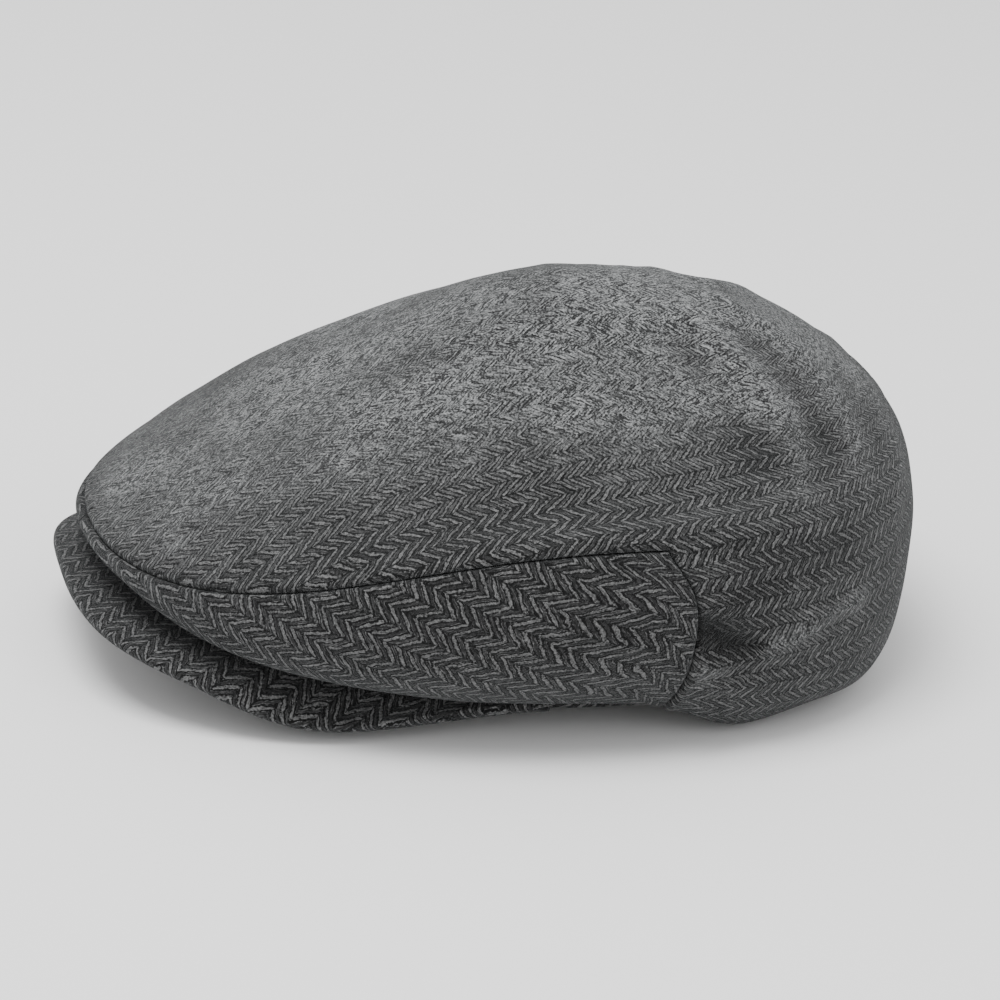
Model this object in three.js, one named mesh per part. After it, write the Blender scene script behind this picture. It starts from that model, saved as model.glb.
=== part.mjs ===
// A flat cap in herringbone wool: one panel for the top and back, a side panel at each side of the
// front, a stiff cloth-covered visor, and the headband, lining and sweatband inside.
// Millimetres, +Z up. The visor points to -Y and the wearer's left is +X. The cap rests on z = 0 on
// the back of its headband and on the drooping sides of its visor.

import * as THREE from 'three';

// ---- Driving dimensions ----------------------------------------------------------------------

// The cap is widest on this line, and every front and back reach below is measured from it.
const WIDEST_Y = 24.1;

// How square a ring is in plan: 2 is an ellipse, and more fills the corners out.
const FRONT_FULLNESS = 2.2;
const BACK_FULLNESS = 2.2;

// The crown's outer surface runs up through these rings. Each has its reach to the front, side and
// back, its height there, how far it sags between the front and side and the side and back, and the
// depth of the lobe that hangs just behind each side panel.
const CROWN_RINGS = [
  // sewn edge on the headband
  { reach: [112, 87, 87], z: [26.5, 15, 3], sag: [0, 1], lobe: 0 },
  // underside, tucked in above the visor and the table
  { reach: [138, 98, 99], z: [33, 16, 5], sag: [4, 7], lobe: 9 },
  // lowest fold of the side panels
  { reach: [153.5, 112, 112], z: [40, 36, 23], sag: [9, 14], lobe: 4 },
  // seam between the top and the side panels
  { reach: [155, 111, 115], z: [45.5, 71, 58], sag: [8, 0], lobe: 0 },
  // shoulder and top
  { reach: [128, 92, 104], z: [61, 80.5, 85], sag: [0, 0], lobe: 0 },
  { reach: [80.5, 57, 62], z: [86.5, 101.5, 111.5], sag: [0, 0], lobe: 0 },
];
const CROWN_TOP_Z = 122.5;
// middle and spread of the lobe, measured round from the front
const LOBE_ANGLE = THREE.MathUtils.degToRad(110);
const LOBE_SPREAD = THREE.MathUtils.degToRad(13);
const SEAM_RING = 3;

// The side panels end at this angle, measured round from the front.
const PANEL_CORNER = THREE.MathUtils.degToRad(96);

// The lining hangs inside the crown as a loose bag with rings of its own.
const LINING_RINGS = [
  { reach: [110, 85, 85], z: [34, 25, 16], sag: [0, 0], lobe: 0 },
  { reach: [126, 100, 101], z: [48, 42, 37], sag: [0, 0], lobe: 0 },
  { reach: [110, 85, 96], z: [57, 69, 76], sag: [0, 0], lobe: 0 },
  { reach: [70, 48, 52], z: [79, 92, 101], sag: [0, 0], lobe: 0 },
];
const LINING_TOP_Z = 111;
const LINING_SEAM_RING = 2;

// The label is on the lining's back, above this ring and this many grid steps wide.
const LABEL_RING = 3;
const LABEL_STEPS = 4;

// The headband is an upright strip round the head opening. Its foot rises towards the visor, and
// lies flat on the table at the back.
const HEADBAND = [111, 86, 86];
const FOOT_Z_FRONT = 19;
const FOOT_Z_SIDE = 8;
const FOOT_FLAT_SHARE = 1.6;
const HEADBAND_HEIGHT = 12;
const SWEATBAND_HEIGHT = 30;
const SWEATBAND_LIFT = 1;

// Where the strips inside the headband end, in degrees round from the front. The elastic takes the
// canvas's place behind its ends, and a patch covers the join of the sweatband's ends.
const CANVAS_END = 150;
const SWEATBAND_END = 179.8;
const PATCH_HALF = 5;
const PATCH_MARGIN = 2;
const PATCH_CLEARANCE = 0.5;

// The visor is a crescent from the headband to a drooping rim.
const VISOR_ROOT_ANGLE = THREE.MathUtils.degToRad(80);
const VISOR_ROOT_LIFT = 4;
const VISOR_REACH = 163.5;
const VISOR_HALF_WIDTH = 89.5;
const VISOR_FULLNESS = 2.9;
const VISOR_ARCH = 2.5;
// heights of the rim's mid-thickness, at even steps from the front to its ends
const VISOR_RIM_Z = [28, 24, 17.5, 5.5, 11.5];
// the board stops at this share of the depth, and the covers close over its edge
const BOARD_SHARE = 0.94;
const VISOR_ROWS = [0, 0.25, 0.5, 0.75, BOARD_SHARE, 1];

// The visor tack stands between the visor's top cover and the crown's tucked-in underside.
const TACK_REACH = 138;
const TACK_RADIUS = 2;
const TACK_SIDES = 12;
const TACK_FOOT = 30.4;
const TACK_TOP = 32.5;

// Thicknesses, and the clearance kept between neighbouring pieces
const WOOL = 1.2;
const INTERLINING = 0.9;
const SATIN = 0.5;
const CANVAS = 0.8;
const SWEATBAND_CLOTH = 1;
const HEADBAND_CLOTH = 2;
const BOARD = 1.6;
const COVER = 0.8;
const GAP = 0.3;
// the visor's root stands this far off the headband
const VISOR_CLEARANCE = 0.4;

// Seams leave half of this on each side: a share of a ring step, and an angle
const SEAM_SHARE = 0.012;
const SEAM_ANGLE = 0.002;

// Grid of the crown and of the lining
const CROWN_STEPS = 60;
const CROWN_ROWS_PER_RING = 3;
const LINING_STEPS = 30;
const LINING_ROWS_PER_RING = 2;
const VISOR_STEPS = 28;

// ---- Materials -------------------------------------------------------------------------------

const wool = new THREE.MeshStandardMaterial({ color: 0x5f6160, roughness: 0.95 });
const canvas = new THREE.MeshStandardMaterial({ color: 0xc9c2b0, roughness: 0.9 });
const satin = new THREE.MeshStandardMaterial({ color: 0x1d1e20, roughness: 0.45 });
const twill = new THREE.MeshStandardMaterial({ color: 0x17181a, roughness: 0.8 });
const board = new THREE.MeshStandardMaterial({ color: 0x2a2a2c, roughness: 0.6 });
const thread = new THREE.MeshStandardMaterial({ color: 0x3a3b3b, roughness: 0.7 });

// ---- Surfaces --------------------------------------------------------------------------------

const NORMAL_STEP = 0.002;

// Catmull-Rom curve through evenly spaced values. It runs on straight past its first and last.
function through(values, t) {
  const last = values.length - 1;
  const start = Math.min(Math.max(Math.floor(t), 0), last - 1);
  const share = t - start;
  const b = values[start];
  const c = values[start + 1];
  const a = start > 0 ? values[start - 1] : 2 * b - c;
  const d = start < last - 1 ? values[start + 2] : 2 * c - b;
  const linear = (c - a) * share;
  const square = (2 * a - 5 * b + 4 * c - d) * share ** 2;
  const cube = (3 * b - a - 3 * c + d) * share ** 3;
  return b + 0.5 * (linear + square + cube);
}

// Point at an angle round the head: 0 is the front and a quarter turn is the wearer's left.
function planPoint(theta, [front, side, back]) {
  const forward = Math.cos(theta);
  const leftward = Math.sin(theta);
  const power = 2 / (forward > 0 ? FRONT_FULLNESS : BACK_FULLNESS);
  const reach = forward > 0 ? front : back;
  return {
    x: side * Math.sign(leftward) * Math.abs(leftward) ** power,
    y: WIDEST_Y - reach * Math.sign(forward) * Math.abs(forward) ** power,
  };
}

// Dome through a list of rings, closing at its top. The level counts rings from 0.
function domeSurface(rings, topZ) {
  const last = rings[rings.length - 1];
  const top = { reach: [0, 0, 0], z: [topZ, topZ, topZ], sag: [0, 0], lobe: 0 };
  const beyond = { ...last, reach: last.reach.map((reach) => -reach) };
  const all = [...rings, top, beyond];
  return (theta, level) => {
    const at = (pick) => through(all.map(pick), level);
    const { x, y } = planPoint(theta, [0, 1, 2].map((k) => at((ring) => ring.reach[k])));
    const ahead = Math.cos(theta) > 0;
    const sideZ = at((ring) => ring.z[1]);
    const endZ = at((ring) => ring.z[ahead ? 0 : 2]);
    const sag = at((ring) => ring.sag[ahead ? 0 : 1]) * Math.sin(2 * theta) ** 2;
    const fromFront = Math.acos(Math.min(Math.max(Math.cos(theta), -1), 1));
    const lobe = at((ring) => ring.lobe) * Math.exp(-(((fromFront - LOBE_ANGLE) / LOBE_SPREAD) ** 2));
    const z = sideZ + (endZ - sideZ) * Math.cos(theta) ** 2 - sag - lobe;
    return new THREE.Vector3(x, y, Math.max(z, 0));
  };
}

const crownSurface = domeSurface(CROWN_RINGS, CROWN_TOP_Z);
const liningSurface = domeSurface(LINING_RINGS, LINING_TOP_Z);

// Height of the headband's foot round the head
function footZ(theta) {
  const along = Math.cos(theta) ** 2;
  if (Math.cos(theta) > 0) return FOOT_Z_SIDE + (FOOT_Z_FRONT - FOOT_Z_SIDE) * along;
  return FOOT_Z_SIDE * Math.max(0, 1 - FOOT_FLAT_SHARE * along);
}

// Visor's mid-thickness: across runs from -1 at the right end to 1 at the left, and depth from 0
// at the headband to 1 at the rim.
function visorSurface(across, depth) {
  const theta = across * VISOR_ROOT_ANGLE;
  const root = planPoint(theta, HEADBAND.map((reach) => reach + VISOR_CLEARANCE));
  const end = planPoint(VISOR_ROOT_ANGLE, HEADBAND);
  const turn = Math.abs(across) * Math.PI / 2;
  const power = 2 / VISOR_FULLNESS;
  const rimX = VISOR_HALF_WIDTH * Math.sin(turn) ** power * Math.sign(across);
  const rimY = end.y - (VISOR_REACH - WIDEST_Y + end.y) * Math.max(Math.cos(turn), 0) ** power;
  const mirrored = [VISOR_RIM_Z[1], ...VISOR_RIM_Z];
  const rimZ = through(mirrored, 1 + Math.abs(across) * (VISOR_RIM_Z.length - 1));
  const rootZ = footZ(theta) + VISOR_ROOT_LIFT;
  const arch = VISOR_ARCH * 4 * depth * (1 - depth) * Math.cos(turn) ** 2;
  return new THREE.Vector3(
    root.x + (rimX - root.x) * depth,
    root.y + (rimY - root.y) * depth,
    rootZ + (rimZ - rootZ) * depth + arch,
  );
}

// Outward normal of a surface, from short steps to either side of the point
function normalOf(surface, u, v, lowest, highest) {
  const step = NORMAL_STEP;
  const uStep = surface(u + step, v).sub(surface(u - step, v));
  const below = Math.max(v - step, lowest);
  const above = Math.min(v + step, highest);
  const vStep = surface(u, above).sub(surface(u, below));
  return uStep.cross(vStep).normalize();
}

// ---- Closed cloth solids ---------------------------------------------------------------------

// Closed solid between the outer and inner corners of a grid. outer(i, j) and inner(i, j) place
// the corners, and kept(i, j) says which cells are cloth. A round grid joins its last column to
// its first, and a peaked one closes its last row in one point.
function gridSolid({ columns, rows, round, peaked, outer, inner, kept }) {
  const positions = [];
  const index = [];
  const numbered = new Map();
  const corner = (i, j, face) => {
    const column = peaked && j === rows ? 0 : (round ? i % columns : i);
    const key = `${column},${j},${face.name}`;
    if (!numbered.has(key)) {
      numbered.set(key, positions.length / 3);
      positions.push(...face(column, j).toArray());
    }
    return numbered.get(key);
  };
  const triangle = (a, b, c) => {
    if (a !== b && b !== c && c !== a) index.push(a, b, c);
  };
  const isKept = (i, j) => {
    if (j < 0 || j >= rows) return false;
    if (round) return kept((i + columns) % columns, j);
    return i >= 0 && i < columns && kept(i, j);
  };
  for (let i = 0; i < columns; i += 1) {
    for (let j = 0; j < rows; j += 1) {
      if (!isKept(i, j)) continue;
      const ring = [[i, j], [i + 1, j], [i + 1, j + 1], [i, j + 1]];
      const beside = [[i, j - 1], [i + 1, j], [i, j + 1], [i - 1, j]];
      const out = ring.map(([p, q]) => corner(p, q, outer));
      const back = ring.map(([p, q]) => corner(p, q, inner));
      triangle(out[0], out[1], out[2]);
      triangle(out[0], out[2], out[3]);
      triangle(back[0], back[2], back[1]);
      triangle(back[0], back[3], back[2]);
      beside.forEach(([p, q], side) => {
        const next = (side + 1) % 4;
        if (isKept(p, q) || out[side] === out[next]) return;
        triangle(out[next], out[side], back[side]);
        triangle(out[next], back[side], back[next]);
      });
    }
  }
  const geometry = new THREE.BufferGeometry();
  geometry.setAttribute('position', new THREE.Float32BufferAttribute(positions, 3));
  geometry.setIndex(index);
  geometry.computeVertexNormals();
  return geometry;
}

// Panel of cloth on a dome, between two depths below its surface. Where the panel borders on cells
// of another panel, its edge draws back by half the seam's clearance.
function domePanel({ surface, rings, steps, rowsPerRing, depth, thickness, kept }) {
  const rows = rings.length * rowsPerRing;
  const isCloth = (i, j) => kept((i + steps) % steps, j);
  const inset = (i, j) => {
    let aside = 0;
    let up = 0;
    for (const left of [1, 0]) {
      for (const low of [1, 0]) {
        const row = j - low;
        if (row < 0 || row >= rows || isCloth(i - left, row)) continue;
        aside += left ? 1 : -1;
        up += low ? 1 : -1;
      }
    }
    return { aside: Math.sign(aside), up: Math.sign(up) };
  };
  const at = (i, j, below) => {
    const { aside, up } = inset(i, j);
    const theta = (i / steps) * 2 * Math.PI + aside * SEAM_ANGLE;
    const level = j / rowsPerRing + up * SEAM_SHARE;
    if (j === rows) return surface(0, rings.length).setZ(surface(0, rings.length).z - below);
    const normal = normalOf(surface, theta, level, 0, rings.length);
    return surface(theta, level).addScaledVector(normal, -below);
  };
  return gridSolid({
    columns: steps,
    rows,
    round: true,
    peaked: true,
    outer: function outer(i, j) { return at(i, j, depth); },
    inner: function inner(i, j) { return at(i, j, depth + thickness); },
    kept,
  });
}

const cornerStep = Math.round((PANEL_CORNER / (2 * Math.PI)) * CROWN_STEPS);
const seamRow = SEAM_RING * CROWN_ROWS_PER_RING;
const liningCorner = Math.round((PANEL_CORNER / (2 * Math.PI)) * LINING_STEPS);
const liningSeamRow = LINING_SEAM_RING * LINING_ROWS_PER_RING;

function crownCloth(kept, depth = 0, thickness = WOOL) {
  const grid = { rings: CROWN_RINGS, steps: CROWN_STEPS, rowsPerRing: CROWN_ROWS_PER_RING };
  return domePanel({ surface: crownSurface, ...grid, depth, thickness, kept });
}

function liningCloth(kept, depth = 0, thickness = SATIN) {
  const grid = { rings: LINING_RINGS, steps: LINING_STEPS, rowsPerRing: LINING_ROWS_PER_RING };
  return domePanel({ surface: liningSurface, ...grid, depth, thickness, kept });
}

// Upright strip that follows the head opening from one angle to another. A strip whose angles are
// a whole turn apart is a closed ring.
function uprightStrip({ from, to, inset, thickness, low, high }) {
  const whole = to - from === 360;
  const columns = Math.max(2, Math.round((to - from) / (360 / CROWN_STEPS)));
  const place = (i, j, inward) => {
    const theta = THREE.MathUtils.degToRad(from + ((to - from) * i) / columns);
    const { x, y } = planPoint(theta, HEADBAND.map((reach) => reach - inward));
    return new THREE.Vector3(x, y, footZ(theta) + (j ? high : low));
  };
  return gridSolid({
    columns,
    rows: 1,
    round: whole,
    peaked: false,
    outer: function outer(i, j) { return place(i, j, inset); },
    inner: function inner(i, j) { return place(i, j, inset + thickness); },
    kept: () => true,
  });
}

// Layer of the visor between two offsets from its mid-thickness. A cover closes in at the rim.
function visorLayer({ top, bottom, topAtRim, bottomAtRim, rows }) {
  const place = (i, j, offset, offsetAtRim) => {
    const across = (2 * i) / VISOR_STEPS - 1;
    const depth = VISOR_ROWS[j];
    const inside = 1 - 2 * NORMAL_STEP;
    const limited = Math.min(Math.max(across, -inside), inside);
    const normal = normalOf(visorSurface, limited, depth, 0, 1);
    if (normal.z < 0) normal.negate();
    // the edge at the headband stands upright, so that it keeps its distance from the band
    if (depth === 0) normal.set(0, 0, 1);
    return visorSurface(across, depth).addScaledVector(normal, depth === 1 ? offsetAtRim : offset);
  };
  return gridSolid({
    columns: VISOR_STEPS,
    rows,
    round: false,
    peaked: false,
    outer: function outer(i, j) { return place(i, j, bottom, bottomAtRim); },
    inner: function inner(i, j) { return place(i, j, top, topAtRim); },
    kept: () => true,
  });
}

// ---- The pieces ------------------------------------------------------------------------------

const cap = new THREE.Group();

function add(name, geometry, material) {
  const mesh = new THREE.Mesh(geometry, material);
  mesh.name = name;
  cap.add(mesh);
  return mesh;
}

// Outer cloth: the top and back in one panel, and a panel at each side of the front
const inFront = (i, corner, steps) => i < corner || i >= steps - corner;
const isSide = (i, j) => j < seamRow && inFront(i, cornerStep, CROWN_STEPS);
add('crown_panel', crownCloth((i, j) => !isSide(i, j)), wool);
add('side_panel_left', crownCloth((i, j) => isSide(i, j) && i < cornerStep), wool);
add('side_panel_right', crownCloth((i, j) => isSide(i, j) && i >= cornerStep), wool);

// Interlining behind the outer cloth, clear of the seams and of the tight fold at the front
const behindWool = WOOL + GAP;
const foldRow = 2 * CROWN_ROWS_PER_RING;
const clearOfTip = CROWN_STEPS / 15;
const isBacked = (i, j) => j >= foldRow && j < seamRow - 1 && i >= clearOfTip && i < cornerStep - 1;
add('crown_interlining', crownCloth((i, j) => j > seamRow, behindWool, INTERLINING), canvas);
add('side_interlining_left', crownCloth(isBacked, behindWool, INTERLINING), canvas);
add(
  'side_interlining_right',
  crownCloth((i, j) => isBacked(CROWN_STEPS - 1 - i, j), behindWool, INTERLINING),
  canvas,
);

// Lining: a top and back in one panel, and a panel at each side of the front, with a blank label
const isLiningSide = (i, j) => j < liningSeamRow && inFront(i, liningCorner, LINING_STEPS);
add('lining_top', liningCloth((i, j) => !isLiningSide(i, j)), satin);
add('lining_side_left', liningCloth((i, j) => isLiningSide(i, j) && i < liningCorner), satin);
add('lining_side_right', liningCloth((i, j) => isLiningSide(i, j) && i >= liningCorner), satin);
const labelRow = LINING_ROWS_PER_RING * LABEL_RING;
const isLabel = (i, j) => j === labelRow && Math.abs(i + 0.5 - LINING_STEPS / 2) < LABEL_STEPS / 2;
add('lining_label', liningCloth(isLabel, SATIN + GAP, SATIN), canvas);

// Headband of the outer cloth, and behind it stiff canvas that gives way to elastic at the back
const canvasInset = HEADBAND_CLOTH + GAP;
const sweatInset = canvasInset + CANVAS + GAP;
const canvasBand = { inset: canvasInset, thickness: CANVAS, low: 1, high: HEADBAND_HEIGHT - 1 };
add(
  'headband',
  uprightStrip({ from: 0, to: 360, inset: 0, thickness: HEADBAND_CLOTH, low: 0, high: HEADBAND_HEIGHT }),
  wool,
);
add('headband_canvas', uprightStrip({ from: -CANVAS_END, to: CANVAS_END, ...canvasBand }), canvas);
add('elastic_tape', uprightStrip({ from: CANVAS_END + 1, to: 359 - CANVAS_END, ...canvasBand }), twill);

// Sweatband: one strip whose ends meet at the back, where a patch covers the join
const sweatTop = SWEATBAND_LIFT + SWEATBAND_HEIGHT;
add(
  'sweatband',
  uprightStrip({
    from: -SWEATBAND_END,
    to: SWEATBAND_END,
    inset: sweatInset,
    thickness: SWEATBAND_CLOTH,
    low: SWEATBAND_LIFT,
    high: sweatTop,
  }),
  twill,
);
add(
  'sweatband_join_patch',
  uprightStrip({
    from: 180 - PATCH_HALF,
    to: 180 + PATCH_HALF,
    inset: sweatInset + SWEATBAND_CLOTH + PATCH_CLEARANCE,
    thickness: CANVAS,
    low: SWEATBAND_LIFT + PATCH_MARGIN,
    high: sweatTop - PATCH_MARGIN,
  }),
  twill,
);

// Visor: a board between two covers that close over its rim
const coverOffset = BOARD / 2 + GAP;
const boardRows = VISOR_ROWS.indexOf(BOARD_SHARE);
add('visor_board', visorLayer({ top: BOARD / 2, bottom: -BOARD / 2, rows: boardRows }), board);
add(
  'visor_top_cover',
  visorLayer({
    top: coverOffset + COVER,
    bottom: coverOffset,
    topAtRim: GAP / 2 + COVER,
    bottomAtRim: GAP / 2,
    rows: VISOR_ROWS.length - 1,
  }),
  wool,
);
add(
  'visor_under_cover',
  visorLayer({
    top: -coverOffset,
    bottom: -coverOffset - COVER,
    topAtRim: -GAP / 2,
    bottomAtRim: -GAP / 2 - COVER,
    rows: VISOR_ROWS.length - 1,
  }),
  wool,
);

// Bar of thread that holds the front of the crown down on the visor
const tack = add(
  'visor_tack',
  new THREE.CylinderGeometry(TACK_RADIUS, TACK_RADIUS, TACK_TOP - TACK_FOOT, TACK_SIDES),
  thread,
);
tack.rotation.x = Math.PI / 2;
tack.position.set(0, WIDEST_Y - TACK_REACH, (TACK_FOOT + TACK_TOP) / 2);

export default cap;
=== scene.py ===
import math

import bpy
import numpy as np
from mathutils import Matrix, Vector, noise


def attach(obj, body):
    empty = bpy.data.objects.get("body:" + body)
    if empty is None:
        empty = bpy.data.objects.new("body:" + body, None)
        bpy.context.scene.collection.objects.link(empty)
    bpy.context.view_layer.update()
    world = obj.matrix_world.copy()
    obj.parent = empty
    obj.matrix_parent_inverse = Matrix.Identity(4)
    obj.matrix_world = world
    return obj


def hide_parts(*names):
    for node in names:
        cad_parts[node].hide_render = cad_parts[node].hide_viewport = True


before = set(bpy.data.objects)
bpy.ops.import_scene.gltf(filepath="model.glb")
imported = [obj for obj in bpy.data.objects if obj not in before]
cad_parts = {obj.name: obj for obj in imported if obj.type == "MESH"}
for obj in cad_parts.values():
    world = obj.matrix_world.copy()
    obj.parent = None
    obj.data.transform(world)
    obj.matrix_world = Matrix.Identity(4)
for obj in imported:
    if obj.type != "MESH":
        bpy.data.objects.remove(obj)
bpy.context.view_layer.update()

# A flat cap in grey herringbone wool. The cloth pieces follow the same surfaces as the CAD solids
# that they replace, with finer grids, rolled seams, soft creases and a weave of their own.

BODY = "root"
MM = 0.001

# ---- Camera ----------------------------------------------------------

CAMERA_TARGET = Vector((0, 0.0061, 0.05))
CAMERA_AZIMUTH = math.radians(75.7)
CAMERA_ELEVATION = math.radians(21.6)
CAMERA_ROLL = math.radians(3)
CAMERA_DISTANCE = 1.253
CAMERA_LENS = 137.6
# how far the camera stands aside from the target, along its own right and up
CAMERA_ASIDE = (-0.00096, -0.00517)


def make_camera():
    right = Vector((math.cos(CAMERA_AZIMUTH), math.sin(CAMERA_AZIMUTH), 0))
    level_back = Vector((right.y, -right.x, 0))
    back = level_back * math.cos(CAMERA_ELEVATION) + Vector((0, 0, math.sin(CAMERA_ELEVATION)))
    up = back.cross(right)
    rolled_right = right * math.cos(CAMERA_ROLL) + up * math.sin(CAMERA_ROLL)
    rolled_up = up * math.cos(CAMERA_ROLL) - right * math.sin(CAMERA_ROLL)
    camera = bpy.data.objects.new("camera", bpy.data.cameras.new("camera"))
    bpy.context.scene.collection.objects.link(camera)
    place = CAMERA_TARGET + back * CAMERA_DISTANCE
    place += rolled_right * CAMERA_ASIDE[0] + rolled_up * CAMERA_ASIDE[1]
    turn = Matrix((rolled_right, rolled_up, back)).transposed().to_4x4()
    camera.matrix_world = Matrix.Translation(place) @ turn
    camera.data.lens = CAMERA_LENS
    camera.data.sensor_width = 36
    bpy.context.scene.camera = camera


make_camera()

# ---- Surfaces, the same as the CAD model's ---------------------------

WIDEST_Y = 24.1 * MM
FULLNESS = 2.2

# Rings of the crown's outer surface: reach to the front, side and back, heights there, sag between
# the front and side and the side and back, and the depth of the lobe behind each side panel.
CROWN_RINGS = [
    (112, 87, 87, 26.5, 15, 3, 0, 1, 0),          # sewn edge on the headband
    (138, 98, 99, 33, 16, 5, 4, 7, 9),            # tucked in
    (153.5, 112, 112, 40, 36, 23, 9, 14, 4),      # lowest fold of the side panels
    (155, 111, 115, 45.5, 71, 58, 8, 0, 0),       # seam of the top and the side panels
    (128, 92, 104, 61, 80.5, 85, 0, 0, 0),        # shoulder
    (80.5, 57, 62, 86.5, 101.5, 111.5, 0, 0, 0),
]
CROWN_TOP = 122.5
SEAM_LEVEL = 3
LOBE_ANGLE = math.radians(110)
LOBE_SPREAD = math.radians(13)

LINING_RINGS = [
    (110, 85, 85, 34, 25, 16, 0, 0, 0),
    (126, 100, 101, 48, 42, 37, 0, 0, 0),
    (110, 85, 96, 57, 69, 76, 0, 0, 0),
    (70, 48, 52, 79, 92, 101, 0, 0, 0),
]
LINING_TOP = 111
LINING_SEAM_LEVEL = 2

HEADBAND = (111 * MM, 86 * MM, 86 * MM)
HEADBAND_HEIGHT = 12 * MM
FOOT_Z_FRONT = 19 * MM
FOOT_Z_SIDE = 8 * MM
FOOT_FLAT_SHARE = 1.6
SWEATBAND_LIFT = 1 * MM
SWEATBAND_HEIGHT = 30 * MM

VISOR_ROOT_ANGLE = math.radians(80)
VISOR_ROOT_LIFT = 4 * MM
VISOR_CLEARANCE = 0.4 * MM
VISOR_REACH = 163.5 * MM
VISOR_HALF_WIDTH = 89.5 * MM
VISOR_FULLNESS = 2.9
VISOR_ARCH = 2.5 * MM
VISOR_RIM_Z = [28 * MM, 24 * MM, 17.5 * MM, 5.5 * MM, 11.5 * MM]

WOOL = 1.2 * MM
INTERLINING = 0.9 * MM
SATIN = 0.5 * MM
CANVAS = 0.8 * MM
HEADBAND_CLOTH = 2 * MM
SWEATBAND_CLOTH = 1 * MM
COVER = 0.8 * MM
BOARD = 1.6 * MM
GAP = 0.3 * MM

# step in radians and in levels between the points that a normal is taken from
NORMAL_STEP = 0.002
SHARP_ANGLE = math.radians(60)


def through(values, t):
    """Catmull-Rom curve through evenly spaced values."""
    values = np.asarray(values, float)
    last = len(values) - 1
    start = np.clip(np.floor(t).astype(int), 0, last - 1)
    share = t - start
    b = values[start]
    c = values[start + 1]
    a = np.where(start > 0, values[np.maximum(start - 1, 0)], 2 * b - c)
    d = np.where(start < last - 1, values[np.minimum(start + 2, last)], 2 * c - b)
    square = (2 * a - 5 * b + 4 * c - d) * share**2
    cube = (3 * b - a - 3 * c + d) * share**3
    return b + 0.5 * ((c - a) * share + square + cube)


def plan_point(theta, front, side, back):
    """Point at an angle round the head: 0 is the front and a quarter turn is the wearer's left."""
    forward = np.cos(theta)
    leftward = np.sin(theta)
    reach = np.where(forward > 0, front, back)
    x = side * np.sign(leftward) * np.abs(leftward) ** (2 / FULLNESS)
    y = WIDEST_Y - reach * np.sign(forward) * np.abs(forward) ** (2 / FULLNESS)
    return x, y


class Dome:
    """Surface through a list of rings, closing at its top. The level counts rings from 0."""

    def __init__(self, rings, top):
        last = rings[-1]
        closing = (0, 0, 0, top, top, top, 0, 0, 0)
        beyond = (-last[0], -last[1], -last[2], *last[3:])
        self.columns = np.array([*rings, closing, beyond], float).T * MM
        self.top_level = len(rings)

    def reach(self, level):
        return [through(self.columns[k], level) for k in range(3)]

    def at(self, theta, level):
        front, side, back, z_front, z_side, z_back, sag_front, sag_back, lobe = (
            through(column, level) for column in self.columns
        )
        x, y = plan_point(theta, front, side, back)
        ahead = np.cos(theta) > 0
        sag = np.where(ahead, sag_front, sag_back) * np.sin(2 * theta) ** 2
        end = np.where(ahead, z_front, z_back)
        from_front = np.arccos(np.clip(np.cos(theta), -1, 1))
        hang = lobe * np.exp(-(((from_front - LOBE_ANGLE) / LOBE_SPREAD) ** 2))
        z = z_side + (end - z_side) * np.cos(theta) ** 2 - sag - hang
        return np.stack([x, y, np.maximum(z, 0)], axis=-1)

    def normal(self, theta, level):
        step = NORMAL_STEP
        aside = self.at(theta + step, level) - self.at(theta - step, level)
        above = np.minimum(level + step, self.top_level)
        below = np.maximum(level - step, 0)
        upward = self.at(theta, above) - self.at(theta, below)
        across = np.cross(aside, upward)
        length = np.linalg.norm(across, axis=-1, keepdims=True)
        flat = length < 1e-12
        return np.where(flat, [0.0, 0.0, 1.0], across / np.where(flat, 1, length))


crown = Dome(CROWN_RINGS, CROWN_TOP)
lining = Dome(LINING_RINGS, LINING_TOP)


def foot_z(theta):
    """Height of the headband's foot round the head."""
    along = np.cos(theta) ** 2
    front = FOOT_Z_SIDE + (FOOT_Z_FRONT - FOOT_Z_SIDE) * along
    back = FOOT_Z_SIDE * np.maximum(0, 1 - FOOT_FLAT_SHARE * along)
    return np.where(np.cos(theta) > 0, front, back)


def visor_point(across, depth):
    """Visor's mid-thickness: across from -1 to 1, depth from 0 at the headband to 1 at the rim."""
    theta = across * VISOR_ROOT_ANGLE
    root_x, root_y = plan_point(theta, *(size + VISOR_CLEARANCE for size in HEADBAND))
    end_y = plan_point(np.array(VISOR_ROOT_ANGLE), *HEADBAND)[1]
    turn = np.abs(across) * math.pi / 2
    power = 2 / VISOR_FULLNESS
    rim_x = VISOR_HALF_WIDTH * np.sin(turn) ** power * np.sign(across)
    rim_y = end_y - (VISOR_REACH - WIDEST_Y + end_y) * np.maximum(np.cos(turn), 0) ** power
    mirrored = [VISOR_RIM_Z[1], *VISOR_RIM_Z]
    rim_z = through(mirrored, 1 + np.abs(across) * (len(VISOR_RIM_Z) - 1))
    root_z = foot_z(theta) + VISOR_ROOT_LIFT
    arch = VISOR_ARCH * 4 * depth * (1 - depth) * np.cos(turn) ** 2
    x = root_x + (rim_x - root_x) * depth
    y = root_y + (rim_y - root_y) * depth
    z = root_z + (rim_z - root_z) * depth + arch
    return np.stack([x, y, z], axis=-1)


# ---- Meshes ----------------------------------------------------------


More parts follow.
